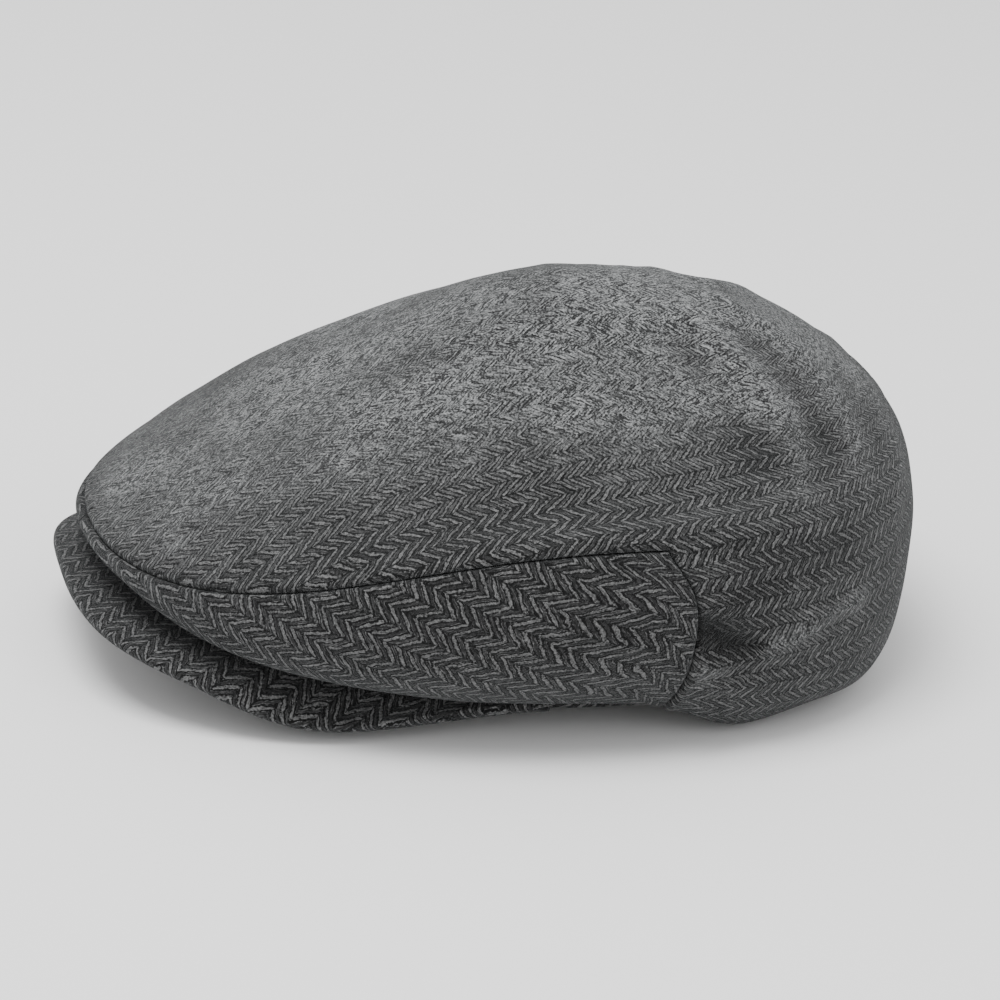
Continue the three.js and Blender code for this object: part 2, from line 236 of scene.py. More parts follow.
def make_object(name, points, faces, weave=None, nap_and_painted_light=None):
    """Smooth mesh object. weave gives each point's place in the cloth, across and along its
    columns. The nap value gives how much nap it has there, and how much painted light (above 0) and
    painted shade (below 0) its colour gets."""
    mesh = bpy.data.meshes.new(name)
    mesh.from_pydata(points.tolist(), [], faces)
    mesh.validate()
    mesh.shade_smooth()
    mesh.set_sharp_from_angle(angle=SHARP_ANGLE)
    if weave is not None:
        corner = np.empty(len(mesh.loops), np.int32)
        mesh.loops.foreach_get("vertex_index", corner)
        layer = mesh.uv_layers.new(name="weave")
        layer.data.foreach_set("uv", weave[corner].astype(np.float32).ravel())
    if nap_and_painted_light is not None:
        attribute = mesh.attributes.new("nap_and_painted_light", "FLOAT", "POINT")
        attribute.data.foreach_set("value", nap_and_painted_light.astype(np.float32))
    thing = bpy.data.objects.new(name, mesh)
    bpy.context.scene.collection.objects.link(thing)
    return thing


def shell_faces(number, kept, closed, peaked):
    """Faces of a closed shell over the kept cells of a grid. number holds the outer points'
    numbers, and the inner points follow them all in the same order."""
    columns, rows = kept.shape
    behind = number.max() + 1
    faces = []
    for i in range(columns):
        right = (i + 1) % number.shape[0]
        for j in range(rows):
            if not kept[i, j]:
                continue
            ring = [number[i, j], number[right, j], number[right, j + 1], number[i, j + 1]]
            beside = [
                j > 0 and kept[i, j - 1],
                (closed or i + 1 < columns) and kept[(i + 1) % columns, j],
                j + 1 < rows and kept[i, j + 1],
                (closed or i > 0) and kept[i - 1, j],
            ]
            if peaked and j == rows - 1:
                beside[2] = True
                ring.pop(3)
                beside.pop(2)
            faces.append([int(n) for n in ring])
            faces.append([int(n + behind) for n in reversed(ring)])
            for side, joined in enumerate(beside):
                if joined:
                    continue
                a = int(ring[side])
                b = int(ring[(side + 1) % len(ring)])
                faces.append([b, a, a + int(behind), b + int(behind)])
    return faces


def make_shell(name, outer, inner, kept, closed=False, peaked=False, weave=None, nap_and_painted_light=None):
    """Closed shell between two grids of points, over the kept cells."""
    columns, rows = outer.shape[:2]
    number = np.arange(columns * rows).reshape(columns, rows)
    if peaked:
        number[:, -1] = number[0, -1]
    faces = shell_faces(number, kept, closed, peaked)
    behind = number.max() + 1
    count = columns * rows
    flat_outer = outer.reshape(count, 3)[:behind]
    flat_inner = inner.reshape(count, 3)[:behind]
    points = np.concatenate([flat_outer, flat_inner])
    used = np.zeros(len(points), bool)
    used[np.unique(np.concatenate([np.array(f) for f in faces]))] = True
    renumber = np.cumsum(used) - 1
    faces = [[int(renumber[n]) for n in face] for face in faces]
    extras = {}
    for key, values in (("weave", weave), ("nap_and_painted_light", nap_and_painted_light)):
        if values is not None:
            once = values.reshape(count, *values.shape[2:])[:behind]
            extras[key] = np.concatenate([once, once])[used]
    return make_object(name, points[used], faces, **extras)


def graded(start, end, finest, coarsest, growth=1.35):
    """Places from start to end, close together at the start and further apart away from it."""
    steps = [finest]
    while sum(steps) < abs(end - start):
        steps.append(min(steps[-1] * growth, coarsest))
    places = np.concatenate([[0], np.cumsum(steps)])
    return start + (end - start) * places / places[-1]


def graded_between(stops, finest, coarsest):
    """Places through all the stops, close together at each of them."""
    places = []
    for start, end in zip(stops[:-1], stops[1:]):
        middle = (start + end) / 2
        places.extend(graded(start, middle, finest, coarsest)[:-1])
        places.extend(graded(end, middle, finest, coarsest)[:0:-1])
    return np.array(places)


# ---- Grid of the outer cloth -----------------------------------------

PANEL_CORNER = 96
FINEST_ANGLE = 0.25
COARSEST_ANGLE = 1.25
FINEST_LEVEL = 0.012
COARSEST_LEVEL_BELOW = 0.05
COARSEST_LEVEL_ABOVE = 0.07
SEAM_LEVEL_GAP = 0.006
SEAM_ANGLE_GAP = 0.0012


def gentle(points, size, shift=0.0):
    """Smooth noise between about -1 and 1, with lumps of the given size in metres."""
    flat = points.reshape(-1, 3) / size + shift
    values = [noise.noise(Vector(p)) for p in flat]
    return np.array(values).reshape(points.shape[:-1])


def edge_insets(kept, closed):
    """How a grid's points draw back from the edges of the kept cells: aside and up, -1, 0 or 1."""
    columns, rows = kept.shape
    framed = np.zeros((columns + 2, rows + 2), bool)
    framed[1:-1, 1:-1] = kept
    framed[1:-1, 0] = kept[:, 0]
    framed[1:-1, -1] = kept[:, -1]
    if closed:
        framed[0] = framed[-2]
        framed[-1] = framed[1]
    low_left, high_left = framed[:-1, :-1], framed[:-1, 1:]
    low_right, high_right = framed[1:, :-1], framed[1:, 1:]
    aside = (~low_left).astype(int) + (~high_left) - (~low_right) - (~high_right)
    up = (~low_left).astype(int) + (~low_right) - (~high_left) - (~high_right)
    if closed:
        aside, up = aside[:-1], up[:-1]
    return np.sign(aside), np.sign(up)


class DomeGrid:
    """Grid of points on a dome. A closed grid goes all the way round."""

    def __init__(self, dome, degrees, levels, closed=True):
        self.dome = dome
        self.closed = closed
        self.theta, self.level = np.meshgrid(np.radians(degrees), levels, indexing="ij")
        self.refresh()

    def refresh(self):
        self.points = self.dome.at(self.theta, self.level)
        self.normals = self.dome.normal(self.theta, self.level)
        self.is_left = np.mod(self.theta, 2 * math.pi) <= math.pi

    def cells(self):
        columns, rows = self.theta.shape
        return columns if self.closed else columns - 1, rows - 1

    def whole(self):
        return np.ones(self.cells(), bool)

    def cloth(self, name, kept, relief, depth, thickness, weave=None, nap_and_painted_light=None):
        """Panel of cloth over the kept cells, drawn back a little from its seams."""
        aside, up = edge_insets(kept, self.closed)
        theta = self.theta + aside * SEAM_ANGLE_GAP
        level = np.clip(self.level + up * SEAM_LEVEL_GAP, 0, self.dome.top_level)
        outer = self.dome.at(theta, level) + self.normals * (relief - depth)[..., None]
        inner = outer - self.normals * thickness
        outer[..., 2] = np.maximum(outer[..., 2], 0)
        inner[..., 2] = np.maximum(inner[..., 2], 0)
        peaked = self.closed and bool(kept[0, -1])
        return make_shell(name, outer, inner, kept, self.closed, peaked, weave, nap_and_painted_light)


def row_length_from(points, column):
    """Distance along each row from a column, positive towards higher columns."""
    step = np.linalg.norm(np.diff(points, axis=0), axis=-1)
    run = np.concatenate([np.zeros((1, step.shape[1])), np.cumsum(step, axis=0)])
    return run - run[column]


def column_length_from(points, row):
    """Distance along each column from a row, positive upwards."""
    step = np.linalg.norm(np.diff(points, axis=1), axis=-1)
    run = np.concatenate([np.zeros((step.shape[0], 1)), np.cumsum(step, axis=1)], axis=1)
    return run - run[:, row][:, None]


panel_ends = [0, PANEL_CORNER, 180, 360 - PANEL_CORNER, 360]
degrees = graded_between(panel_ends, FINEST_ANGLE, COARSEST_ANGLE)
below_seam = graded(SEAM_LEVEL, 0, FINEST_LEVEL, COARSEST_LEVEL_BELOW)[::-1]
above_seam = graded(SEAM_LEVEL, crown.top_level, FINEST_LEVEL, COARSEST_LEVEL_ABOVE)[1:]
levels = np.concatenate([below_seam, above_seam])
seam_row = len(below_seam) - 1
corner_left = int(np.argmin(np.abs(degrees - PANEL_CORNER)))
corner_right = int(np.argmin(np.abs(degrees - (360 - PANEL_CORNER))))
outer_grid = DomeGrid(crown, degrees, levels)

# The rear seam of each side panel swings forward into a rounded corner at its top. Its offsets in
# degrees are given at every half level.
CORNER_SWING = [0, 0, 0, 0.4, 1, 0.8, -3.5, -1.5, 0, 0, 0, 0, 0]
SWING_SPREAD = 11


def swing_corners(grid):
    offset = through(CORNER_SWING, grid.level * 2)
    for middle, side in ((PANEL_CORNER, 1), (360 - PANEL_CORNER, -1)):
        away = np.degrees(grid.theta) - middle
        grid.theta = grid.theta + side * np.radians(offset) * np.exp(-((away / SWING_SPREAD) ** 2))
    grid.refresh()


swing_corners(outer_grid)

cell_column = np.arange(len(degrees))[:, None]
cell_row = np.arange(len(levels) - 1)[None, :]
in_front = (cell_column < corner_left) | (cell_column >= corner_right)
is_side = in_front & (cell_row < seam_row)

height_over_seam = column_length_from(outer_grid.points, seam_row)
behind_left = row_length_from(outer_grid.points, corner_left)
behind_right = -row_length_from(outer_grid.points, corner_right)
behind_corner = np.where(outer_grid.is_left, behind_left, behind_right)
ring_distance = np.hypot(height_over_seam, np.maximum(behind_corner, 0))
corner_distance = np.hypot(behind_corner, np.maximum(height_over_seam, 0))
to_seam = np.minimum(ring_distance, corner_distance)


# Width of a seam's dip, and the place and width of the roll of cloth beside it.
DIP_WIDTH = 0.7 * MM
ROLL_PLACE = 2.2 * MM
ROLL_WIDTH = 1.9 * MM


def seam_relief(distance, sink, swell):
    """Height of a sewn edge: it dips into the seam and swells just beside it."""
    dip = sink * np.exp(-((distance / DIP_WIDTH) ** 2))
    roll = swell * np.exp(-(((distance - ROLL_PLACE) / ROLL_WIDTH) ** 2))
    return roll - dip


# Soft creases of the outer cloth on each side. Each is an arc between two places, given as degrees
# round from the front and a level, with its bow in levels, its height (below 0 is a dent) and
# its width.
CREASES = [
    # ridges over the rear of the top, and the hollows in front of each of the first two
    ((148, 5.4), (117, 3.6), 0.35, 1.1 * MM, 5 * MM),
    ((170, 5.2), (134, 3.8), 0.05, 1.0 * MM, 5 * MM),
    ((170, 4.2), (142, 3), 0.3, 0.9 * MM, 5.5 * MM),
    ((126, 5.3), (114, 4.3), 0.1, -1.2 * MM, 7 * MM),
    ((148, 5), (133, 4.2), 0.05, -1.3 * MM, 6 * MM),
    # ridge along the crest
    ((90, 5.6), (132, 5.45), 0, 0.9 * MM, 5 * MM),
    # pocket behind each side panel's lower corner, and the roll of cloth that runs back from it
    ((98, 2.3), (105, 2.2), 0, -3.4 * MM, 6 * MM),
    ((99, 1.95), (129, 2.55), 0.1, 1.7 * MM, 4 * MM),
    ((104, 2.6), (123, 2.9), 0.05, -0.8 * MM, 5 * MM),
]
CREASE_STEPS = 9


def arc_places(start, end, bow):
    """Places along an arc over the cloth."""
    share = np.linspace(0, 1, CREASE_STEPS)
    around = start[0] + (end[0] - start[0]) * share
    level = start[1] + (end[1] - start[1]) * share + 4 * bow * share * (1 - share)
    return list(zip(around, level))


# The crown panel is taken in by a dart up its middle at the back.
BACK_DART = [(180, level) for level in np.linspace(0, 4.1, 16)]


def near_line(grid, places):
    """How near each point is to a line through places on the dome: its distance in metres."""
    nearest = np.full(grid.theta.shape, 1.0)
    for side in (1, -1):
        stops = [grid.dome.at(side * np.radians(a), np.array(float(level))) for a, level in places]
        for start, end in zip(stops[:-1], stops[1:]):
            run = end - start
            share = np.clip((grid.points - start) @ run / (run @ run), 0, 1)
            away = np.linalg.norm(grid.points - start - share[..., None] * run, axis=-1)
            nearest = np.minimum(nearest, away)
    return nearest


def crease_relief(grid):
    total = np.zeros(grid.theta.shape)
    for start, end, bow, height, width in CREASES:
        distance = near_line(grid, arc_places(start, end, bow))
        total += height * np.exp(-((distance / width) ** 2))
    return total


# Depth of each seam's dip and height of the roll beside it.
DART_SEAM = (1.1 * MM, 0.4 * MM)
CROWN_SEAM = (1.4 * MM, 0.6 * MM)
SIDE_SEAM = (1.4 * MM, 0.15 * MM)
# Height and size of the cloth's broad and small undulations, which fade out beside the seams.
BROAD_SWELL = (0.6 * MM, 38 * MM)
SMALL_SWELL = (0.25 * MM, 15 * MM)
CALM_WIDTH = 9 * MM
SIDE_SWELL_SHARE = 0.6

creases = crease_relief(outer_grid)
dart = seam_relief(near_line(outer_grid, BACK_DART), *DART_SEAM)
undulation = BROAD_SWELL[0] * gentle(outer_grid.points, BROAD_SWELL[1])
undulation += SMALL_SWELL[0] * gentle(outer_grid.points, SMALL_SWELL[1], 7.0)
calm = 1 - np.exp(-((to_seam / CALM_WIDTH) ** 2))
crown_relief = seam_relief(to_seam, *CROWN_SEAM) + undulation * calm + creases + dart
side_relief = seam_relief(to_seam, *SIDE_SEAM) + SIDE_SWELL_SHARE * undulation * calm

# Painted light: the nap value is highest on the top and at the front tip. This paints them lighter,
# as if lit from above, and covers the weave there with felt. It is thin near the side seams and low
# at the back.
NAP_LIGHT_START = 12 * MM
NAP_LIGHT_RISE = 62 * MM
NAP_MEAN = 0.85
NAP_CHANGE = 0.6
NAP_PATCH = 30 * MM
TIP_SPREAD = math.radians(31)
# How strongly the creases paint light on their ridges and shade in their dents, and the least
# painted light at the rear.
CREASE_PAINTED_LIGHT = 2.8 * MM
REAR_PAINTED_LIGHT = 0.06
REAR_GAIN = 0.35
REAR_START = 0
REAR_LENGTH = 45 * MM
from_tip = np.minimum(outer_grid.theta, 2 * math.pi - outer_grid.theta)
tip_nap_and_highlight = np.exp(-((from_tip / TIP_SPREAD) ** 2)) * np.clip(height_over_seam / NAP_LIGHT_START, 0, 1)
top_nap_and_highlight = np.clip((height_over_seam - NAP_LIGHT_START) / NAP_LIGHT_RISE, 0, 1)
top_nap_and_highlight = top_nap_and_highlight**2 * (3 - 2 * top_nap_and_highlight)
uneven_nap = NAP_MEAN + NAP_CHANGE * gentle(outer_grid.points, NAP_PATCH, 3.0)
crown_nap_and_painted_light = np.maximum(top_nap_and_highlight, tip_nap_and_highlight) * uneven_nap
# Painted light: the ridges are painted lighter, and all of the rear a little lighter. A nap value
# below 0 paints shade into a hollow.
rear = np.clip((outer_grid.points[..., 1] - REAR_START) / REAR_LENGTH, 0, 1)
crown_nap_and_painted_light = np.maximum(crown_nap_and_painted_light * (1 + REAR_GAIN * rear), REAR_PAINTED_LIGHT * rear)
crown_nap_and_painted_light += creases / CREASE_PAINTED_LIGHT
side_nap = np.zeros(outer_grid.theta.shape)

# ---- Weave places ----------------------------------------------------

CREST_END_Y = 76 * MM
# Behind this line the columns on the crown's sides rise towards the back by the tilt.
TILT_START_Y = 0
TILT = math.tan(math.radians(22))
TILT_LENGTH = 70 * MM
TILT_WALL = 100 * MM
WALL_MIDDLE = 120 * MM
SIDE_WEAVE_TURN = math.radians(34)
VISOR_WEAVE_TURN = math.radians(36)
PATH_STEPS = 24
WALL_RADIUS = 110 * MM

level_table = np.linspace(SEAM_LEVEL, crown.top_level, 300)
front_table, side_table, back_table = crown.reach(level_table)


def level_over(x, y):
    """Level of the crown's upper surface over a plan point, by bisection."""
    low = np.full(x.shape, float(SEAM_LEVEL))
    high = np.full(x.shape, float(crown.top_level))
    for _ in range(22):
        middle = (low + high) / 2
        side = np.interp(middle, level_table, side_table)
        front = np.interp(middle, level_table, front_table)
        back = np.interp(middle, level_table, back_table)
        reach = np.where(y < WIDEST_Y, front, back)
        inside = np.abs(x / np.maximum(side, 1e-6)) ** FULLNESS
        inside = inside + np.abs((y - WIDEST_Y) / np.maximum(reach, 1e-6)) ** FULLNESS < 1
        low = np.where(inside, middle, low)
        high = np.where(inside, high, middle)
    return low


def surface_over(x, y):
    """Point of the crown's upper surface over a plan point."""
    level = level_over(x, y)
    front, side, back = crown.reach(level)
    reach = np.where(y < WIDEST_Y, front, back)
    leftward = np.clip(np.abs(x) / np.maximum(side, 1e-6), 0, 1) ** (FULLNESS / 2)
    forward = np.clip(np.abs(y - WIDEST_Y) / np.maximum(reach, 1e-6), 0, 1) ** (FULLNESS / 2)
    theta = np.arctan2(np.sign(x) * leftward, np.sign(WIDEST_Y - y) * forward)
    z = crown.at(theta, level)[..., 2]
    return np.stack([x, y, z], axis=-1)


def crown_weave():
    """Place of each crown point in its cloth. The columns run from front to back over the top, and
    round the back they follow the crest's end at an even distance."""
    upper = outer_grid.points[:, seam_row:]
    x, y = upper[..., 0], upper[..., 1]
    share = np.linspace(0, 1, PATH_STEPS)
    start_y = np.minimum(y, CREST_END_Y)
    path_x = x[..., None] * share
    path_y = start_y[..., None] + (y - start_y)[..., None] * share
    path = surface_over(path_x, path_y)
    across = np.linalg.norm(np.diff(path, axis=-2), axis=-1).sum(axis=-1)
    crest_y = np.linspace(WIDEST_Y - 160 * MM, CREST_END_Y, 400)
    crest = surface_over(np.zeros_like(crest_y), crest_y)
    crest_run = np.concatenate([[0], np.cumsum(np.linalg.norm(np.diff(crest, axis=0), axis=-1))])
    along = np.interp(start_y, crest_y, crest_run)
    turn = np.arctan2(np.maximum(y - CREST_END_Y, 0), np.maximum(np.abs(x), 1e-9))
    radius = WALL_RADIUS * (0.45 + 0.55 * np.clip(across / WALL_RADIUS, 0, 1) ** 1.5)
    along = along + turn * radius
    low_across = across[:, :1] - height_over_seam[:, :seam_row]
    low_along = np.repeat(along[:, :1], seam_row, axis=1)
    across = np.concatenate([low_across, across], axis=1)
    along = np.concatenate([low_along, along], axis=1)
    run = np.maximum(along - np.interp(TILT_START_Y, crest_y, crest_run), 0)
    share = np.clip(run / TILT_LENGTH, 0, 1)
    tilt = TILT * share**2 * (3 - 2 * share)
    rise = TILT * (TILT_LENGTH * (share**3 - share**4 / 2) + np.maximum(run - TILT_LENGTH, 0))
    on_wall = np.clip(across / TILT_WALL, 0, 1)
    on_wall = on_wall**2 * (3 - 2 * on_wall)
    across, along = across + rise * on_wall, along - tilt * (across - WALL_MIDDLE) * on_wall
    return np.stack([across * np.where(outer_grid.is_left, 1, -1), along], axis=-1)


def side_weave():
    """The side panels' columns slope down towards the back."""
    seam_run = row_length_from(outer_grid.points, 0)[:, seam_row]
    closing = np.linalg.norm(outer_grid.points[0, seam_row] - outer_grid.points[-1, seam_row])
    run = np.repeat(seam_run[:, None], len(levels), axis=1)
    run = np.where(outer_grid.is_left, run, seam_run[-1] + closing - run)
    across = run * math.sin(SIDE_WEAVE_TURN) + height_over_seam * math.cos(SIDE_WEAVE_TURN)
    along = run * math.cos(SIDE_WEAVE_TURN) - height_over_seam * math.sin(SIDE_WEAVE_TURN)
    return np.stack([across, along], axis=-1)


# ---- Materials -------------------------------------------------------


class Recipe:
    """Short way to write a material's nodes."""

    def __init__(self, name, slot):
        self.material = bpy.data.materials.new(name)
        self.material.use_nodes = True
        self.slot = slot
        self.tree = self.material.node_tree
        self.shader = self.tree.nodes["Principled BSDF"]

    def node(self, kind, **inputs):
        made = self.tree.nodes.new(kind)
        for key, value in inputs.items():
            self.feed(made.inputs[key.replace("_", " ")], value)
        return made

    def feed(self, socket, value):
        if isinstance(value, bpy.types.NodeSocket):
            self.tree.links.new(value, socket)
        else:
            socket.default_value = value

    def math(self, operation, *values):
        made = self.tree.nodes.new("ShaderNodeMath")
        made.operation = operation
        for socket, value in zip(made.inputs, values):
            self.feed(socket, value)
        return made.outputs[0]

    def add(self, first, *others):
        for other in others:
            first = self.math("ADD", first, other)
        return first

    def times(self, first, *others):
        for other in others:
            first = self.math("MULTIPLY", first, other)
        return first

    def place(self):
        return self.tree.nodes.new("ShaderNodeTexCoord").outputs["Object"]

    def hair_place(self, over, slant, column, width, length):
        """Place in a noise that is stretched along the yarns and differs between columns."""
        across = self.times(over, 1 / width)
        along = self.times(slant, 1 / length)
        return self.vector(across, along, self.times(column, COLUMN_STEP))

    def attribute(self, name):
        made = self.tree.nodes.new("ShaderNodeAttribute")
        made.attribute_name = name
        return made.outputs["Fac"]

    def weave(self):
        made = self.tree.nodes.new("ShaderNodeUVMap")
        made.uv_map = "weave"
        parts = self.node("ShaderNodeSeparateXYZ", Vector=made.outputs[0])
        return parts.outputs[0], parts.outputs[1]

    def noise(self, vector, scale, detail=2.0):
        made = self.node("ShaderNodeTexNoise", Vector=vector, Scale=scale, Detail=detail)
        return made.outputs[0]

    def drift(self, vector, scale, most):
        """Noise from about -most to most."""
        return self.times(self.add(self.noise(vector, scale, 1.0), -0.5), 2 * most)

    def vector(self, x, y, z=0.0):
        return self.node("ShaderNodeCombineXYZ", X=x, Y=y, Z=z).outputs[0]

    def mix(self, share, a, b):
        made = self.tree.nodes.new("ShaderNodeMix")
        made.data_type = "RGBA"
        self.feed(made.inputs["Factor"], share)
        self.feed(made.inputs["A"], a)
        self.feed(made.inputs["B"], b)
        return made.outputs["Result"]

    def step(self, value, low, high):
        """0 below low and 1 above high, smooth between them."""
        made = self.tree.nodes.new("ShaderNodeMapRange")
        made.interpolation_type = "SMOOTHSTEP"
        self.feed(made.inputs["Value"], value)
        made.inputs["From Min"].default_value = low
        made.inputs["From Max"].default_value = high
        return made.outputs[0]

    def scaled(self, colour, amount):
        made = self.tree.nodes.new("ShaderNodeVectorMath")
        made.operation = "SCALE"
        self.feed(made.inputs[0], colour)
        self.feed(made.inputs["Scale"], amount)
        return made.outputs[0]

    def finish(self, colour, height, depth, strength=1.0, roughness=0.9, sheen=0.0, tint=(1, 1, 1)):
        bump = self.node("ShaderNodeBump", Height=height, Distance=depth, Strength=strength)
        self.feed(self.shader.inputs["Base Color"], colour)
        self.feed(self.shader.inputs["Roughness"], roughness)
        self.feed(self.shader.inputs["Normal"], bump.outputs[0])
        self.shader.inputs["Sheen Weight"].default_value = sheen
        self.shader.inputs["Sheen Roughness"].default_value = 0.45
        self.shader.inputs["Sheen Tint"].default_value = (*tint, 1)
        self.shader.inputs["Specular IOR Level"].default_value = 0.2
        return self


COLUMN_WIDTH = 5.1 * MM
TWILL_REPEAT = 4.6 * MM
TWILL_SLOPE = 1.33
HAIR_WIDTH = 0.4 * MM
HAIR_LENGTH = 1.8 * MM
# length over which a yarn's tone changes
YARN_CHANGE = 7 * MM
FUZZ_WIDTH = 1.0 * MM
FUZZ_LENGTH = 2.6 * MM
# How far apart in the noise neighbouring columns lie, and how wide one yarn is for its tone.
COLUMN_STEP = 7.3
TONE_WIDTH = 0.27
# Lumps per metre of the columns' and the yarns' wandering, and how far they wander.
COLUMN_DRIFT = (150.0, 0.9 * MM)
YARN_DRIFT = (130.0, 1.1 * MM)
FINE_YARN_DRIFT = (600.0, 0.7 * MM)
FUZZ_SCALE = 1500.0
PATCH_SCALE = 75.0
# How much the hairs, and the change of tone, move the light yarns' edges, and where those edges are
# in the wave.
RAGGEDNESS = 3.6
TONE_CHANGE = 1.6
LIGHT_EDGES = (-0.9, 0.25)
# Where a yarn's body begins and is full, from the gap beside it.
BODY_EDGES = (0.34, 0.8)
GAP_SHADE = (0.0012, 0.0012, 0.0013, 1)
DARK_YARN = (0.019, 0.019, 0.0192, 1)
# Dark yarn painted lighter where the nap value is above 0: painted light on the top, the front tip,
# the rear and the ridges.
PAINTED_LIT_DARK_YARN = (0.048, 0.0482, 0.0483, 1)
LIGHT_YARN = (0.09, 0.0904, 0.0905, 1)
DARK_FUZZ = (0.006, 0.006, 0.0062, 1)
LIGHT_FUZZ = (0.172, 0.176, 0.177, 1)


def herringbone(name):
    """Two-tone herringbone: columns of slanting yarns that turn the other way in each next column.
    Short hairs run along the yarns, and the weave sinks into them where there is much nap. The nap
    value also paints light and shade: the cloth is painted lighter where the value is above 0 and
    painted darker where it is below 0."""
    made = Recipe(name, "herringbone_wool")
    across, along = made.weave()
    place = made.place()
    nap_and_painted_light = made.attribute("nap_and_painted_light")
    across = made.add(across, made.drift(place, *COLUMN_DRIFT))
    pair = made.math("FRACT", made.times(across, 0.5 / COLUMN_WIDTH))
    swing = made.math("ABSOLUTE", made.add(made.times(pair, 2.0), -1.0))
    slant = made.times(swing, COLUMN_WIDTH)
    uneven = made.add(made.drift(place, *YARN_DRIFT), made.drift(place, *FINE_YARN_DRIFT))
    over = made.add(along, made.times(slant, TWILL_SLOPE), uneven)
    wave = made.math("SINE", made.times(over, 2 * math.pi / TWILL_REPEAT))
    column = made.math("FLOOR", made.times(across, 1 / COLUMN_WIDTH))
    hairs = made.noise(made.hair_place(over, slant, column, HAIR_WIDTH, HAIR_LENGTH), 1.0, 2.0)
    clumps = made.noise(made.hair_place(over, slant, column, FUZZ_WIDTH, FUZZ_LENGTH), 1.0, 1.0)
    yarn = made.math("FLOOR", made.times(over, 1 / TWILL_REPEAT))
    tone = made.noise(made.hair_place(yarn, slant, column, TONE_WIDTH, YARN_CHANGE), 1.0, 1.0)
    fuzz = made.noise(place, FUZZ_SCALE, 1.0)
    patches = made.noise(place, PATCH_SCALE, 2.0)
    ragged = made.times(made.add(hairs, -0.5), RAGGEDNESS)
    toned = made.times(made.add(tone, -0.5), TONE_CHANGE)
    light = made.step(made.add(wave, ragged, toned), *LIGHT_EDGES)
    brink = made.math("MINIMUM", swing, made.add(1.0, made.times(swing, -1.0)))
    ends = made.math("MINIMUM", made.add(made.times(brink, 4.0), 0.5), 1.0)
    body = made.times(made.math("ABSOLUTE", wave), ends)
    body = made.add(body, made.times(ragged, 0.4), made.times(made.add(fuzz, -0.5), 1.2))
    body = made.step(body, *BODY_EDGES)
    # Painted light: the dark yarns are painted lighter where the nap value is above 0.
    dark = made.mix(made.step(nap_and_painted_light, 0.0, 0.15), DARK_YARN, PAINTED_LIT_DARK_YARN)
    yarns = made.mix(body, GAP_SHADE, made.mix(light, dark, LIGHT_YARN))
    tangle = made.add(made.times(clumps, 0.6), made.times(fuzz, 0.4))
    felt = made.mix(made.step(tangle, 0.42, 0.59), DARK_FUZZ, LIGHT_FUZZ)
    # The lighter felt covers the weave where the nap value is high, which also paints the top and
    # the front tip lighter.
    hidden = made.add(nap_and_painted_light, made.times(made.step(patches, 0.45, 0.75), 0.25))
    colour = made.mix(made.times(made.step(hidden, 0.1, 1.1), 0.8), yarns, felt)
    # Brightness from random hairs, fuzz and patches, with painted light where the nap value is
    # high.
    frost_and_painted_light = made.add(made.times(nap_and_painted_light, 0.3), made.times(patches, 0.5), made.times(hairs, 2.3),
                     made.times(fuzz, 2.3), -1.6)
    # Painted shade: the colour is darkened in the hollows, where the nap value is below 0.
    painted_hollow_shade = made.math("MINIMUM", nap_and_painted_light, 0.0)
    colour = made.scaled(colour, made.times(frost_and_painted_light, made.add(made.times(painted_hollow_shade, 0.7), 1.0)))
    height = made.add(made.times(body, 0.5), made.times(light, 0.3), hairs, made.times(fuzz, 1.5))
    return made.finish(colour, height, 0.45 * MM, 0.9, 0.95, 0.1, (0.93, 0.98, 1.0))


def plain_weave(name, slot, dark, light, thread, roughness=0.85, sheen=0.1):
    """Simple cloth with threads of the given size both ways."""
    made = Recipe(name, slot)
    across, along = made.weave()
    turns = 2 * math.pi / thread
    warp = made.math("SINE", made.math("MULTIPLY", across, turns))
    weft = made.math("SINE", made.math("MULTIPLY", along, turns))
    both = made.math("MULTIPLY", warp, weft)
    mottle = made.noise(made.place(), 90.0, 4.0)
    share = made.step(made.math("ADD", both, mottle), -0.4, 1.4)
    colour = made.mix(share, (*dark, 1), (*light, 1))
    return made.finish(colour, both, 0.1 * MM, 0.5, roughness, sheen)


def satin(name, slot, dark, light):
    """Smooth lining cloth with fine lines along it."""
    made = Recipe(name, slot)
    across, _ = made.weave()
    lines = made.math("SINE", made.math("MULTIPLY", across, 2 * math.pi / (0.5 * MM)))
    mottle = made.noise(made.place(), 60.0, 4.0)
    colour = made.mix(mottle, (*dark, 1), (*light, 1))
    return made.finish(colour, lines, 0.04 * MM, 0.3, 0.38, 0.3)


def twill(name, slot, dark, light, repeat):
    """Fine diagonal cloth."""
    made = Recipe(name, slot)
    across, along = made.weave()
    slant = made.math("ADD", across, along)
    lines = made.math("SINE", made.math("MULTIPLY", slant, 2 * math.pi / repeat))
    mottle = made.noise(made.place(), 400.0, 3.0)
    share = made.step(made.math("ADD", lines, mottle), -0.7, 1.7)
    colour = made.mix(share, (*dark, 1), (*light, 1))
    return made.finish(colour, lines, 0.15 * MM, 0.5, 0.8, 0.2)


def matt_board(name):
    made = Recipe(name, "visor_board")
    grain = made.noise(made.place(), 900.0, 4.0)
    colour = made.mix(grain, (0.02, 0.02, 0.022, 1), (0.05, 0.05, 0.052, 1))
    return made.finish(colour, grain, 0.05 * MM, 0.3, 0.6)


def spun_thread(name):
    made = Recipe(name, "sewing_thread")
    grain = made.noise(made.place(), 3000.0, 3.0)
    colour = made.mix(grain, (0.03, 0.03, 0.03, 1), (0.11, 0.11, 0.11, 1))
    return made.finish(colour, grain, 0.1 * MM, 0.6, 0.7, 0.2)


